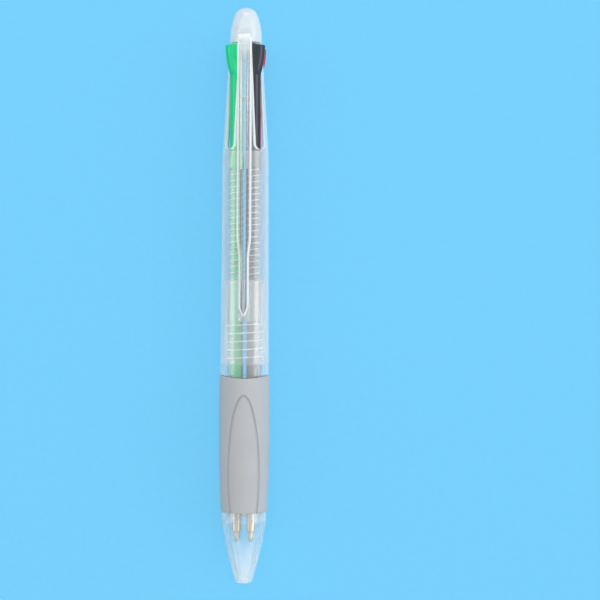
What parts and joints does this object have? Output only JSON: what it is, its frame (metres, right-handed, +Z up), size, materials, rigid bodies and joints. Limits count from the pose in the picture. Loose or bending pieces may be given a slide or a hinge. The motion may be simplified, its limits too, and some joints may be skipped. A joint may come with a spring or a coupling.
{
  "type": "multicolor click pen",
  "caption": "Clear-barrelled click pen whose coloured thumb sliders each push a sprung ink refill out of one shared nose, with a pocket clip on its domed end and a soft grip.",
  "frame": {"origin": "centre of the box's underside, under the middle of the pen's length, on the table the pen lies on", "axes": "+Y along the pen's axis from the nose to the domed end cap, +Z up through the pocket clip, +X to the right when the nose points to the viewer's feet"},
  "size_m": [0.0128, 0.145, 0.0145],
  "materials": {
    "clear_plastic": "clear polished plastic",
    "grip_rubber": "matte",
    "green_plastic": "glossy",
    "black_plastic": "glossy",
    "red_plastic": "glossy",
    "blue_plastic": "glossy",
    "green_tube": "translucent tinted plastic",
    "black_tube": "translucent tinted plastic",
    "red_tube": "translucent tinted plastic",
    "blue_tube": "translucent tinted plastic",
    "spring_steel": "bright wire",
    "point_metal": "turned, nickel plated",
    "ball_metal": "ground ball"
  },
  "bodies": {
    "pen_body": {"upper_barrel": "clear_plastic", "end_cap": "clear_plastic", "latch_core": "clear_plastic", "refill_guide": "clear_plastic", "front_barrel": "clear_plastic", "grip_sleeve": "grip_rubber", "nose_cone": "clear_plastic"},
    "green_button": {"green_slider": "green_plastic"},
    "green_refill": {"green_refill_tube": "green_tube", "green_point": "point_metal", "green_ball": "ball_metal", "green_spring": "spring_steel"},
    "black_button": {"black_slider": "black_plastic"},
    "black_refill": {"black_refill_tube": "black_tube", "black_point": "point_metal", "black_ball": "ball_metal", "black_spring": "spring_steel"},
    "red_button": {"red_slider": "red_plastic"},
    "red_refill": {"red_refill_tube": "red_tube", "red_point": "point_metal", "red_ball": "ball_metal", "red_spring": "spring_steel"},
    "blue_button": {"blue_slider": "blue_plastic"},
    "blue_refill": {"blue_refill_tube": "blue_tube", "blue_point": "point_metal", "blue_ball": "ball_metal", "blue_spring": "spring_steel"}
  },
  "joints": [
    {"name": "green_slide", "type": "slide", "parent": "pen_body", "child": "green_button", "axis": [0, -1, 0], "range_m": [0, 0.0141], "stiffness_N_per_m": 40, "springref_m": -0.006, "deforming": ["green_spring"]},
    {"name": "green_sway", "type": "hinge", "parent": "green_button", "child": "green_refill", "pos_m": [-0.00225, 0.0362, 0.00879], "axis": [0.7314, 0, 0.682], "range_deg": [0, 1.49], "deforming": ["green_refill_tube", "green_point", "green_ball"]},
    {"name": "black_slide", "type": "slide", "parent": "pen_body", "child": "black_button", "axis": [0, -1, 0], "range_m": [0, 0.0141], "stiffness_N_per_m": 40, "springref_m": -0.006, "deforming": ["black_spring"]},
    {"name": "black_sway", "type": "hinge", "parent": "black_button", "child": "black_refill", "pos_m": [0.00225, 0.0362, 0.00879], "axis": [0.7314, 0, -0.682], "range_deg": [0, 1.49], "deforming": ["black_refill_tube", "black_point", "black_ball"]},
    {"name": "red_slide", "type": "slide", "parent": "pen_body", "child": "red_button", "axis": [0, -1, 0], "range_m": [0, 0.0141], "stiffness_N_per_m": 40, "springref_m": -0.006, "deforming": ["red_spring"]},
    {"name": "red_sway", "type": "hinge", "parent": "red_button", "child": "red_refill", "pos_m": [0.00225, 0.0362, 0.00397], "axis": [-0.7314, 0, -0.682], "range_deg": [0, 1.49], "deforming": ["red_refill_tube", "red_point", "red_ball"]},
    {"name": "blue_slide", "type": "slide", "parent": "pen_body", "child": "blue_button", "axis": [0, -1, 0], "range_m": [0, 0.0141], "stiffness_N_per_m": 40, "springref_m": -0.006, "deforming": ["blue_spring"]},
    {"name": "blue_sway", "type": "hinge", "parent": "blue_button", "child": "blue_refill", "pos_m": [-0.00225, 0.0362, 0.00397], "axis": [-0.7314, 0, 0.682], "range_deg": [0, 1.49], "deforming": ["blue_refill_tube", "blue_point", "blue_ball"]}
  ],
  "couplings": [
    {"joint": "green_sway", "follows": "green_slide", "rad_per_m": 1.8428},
    {"joint": "black_sway", "follows": "black_slide", "rad_per_m": 1.8428},
    {"joint": "red_sway", "follows": "red_slide", "rad_per_m": 1.8428},
    {"joint": "blue_sway", "follows": "blue_slide", "rad_per_m": 1.8428}
  ]
}
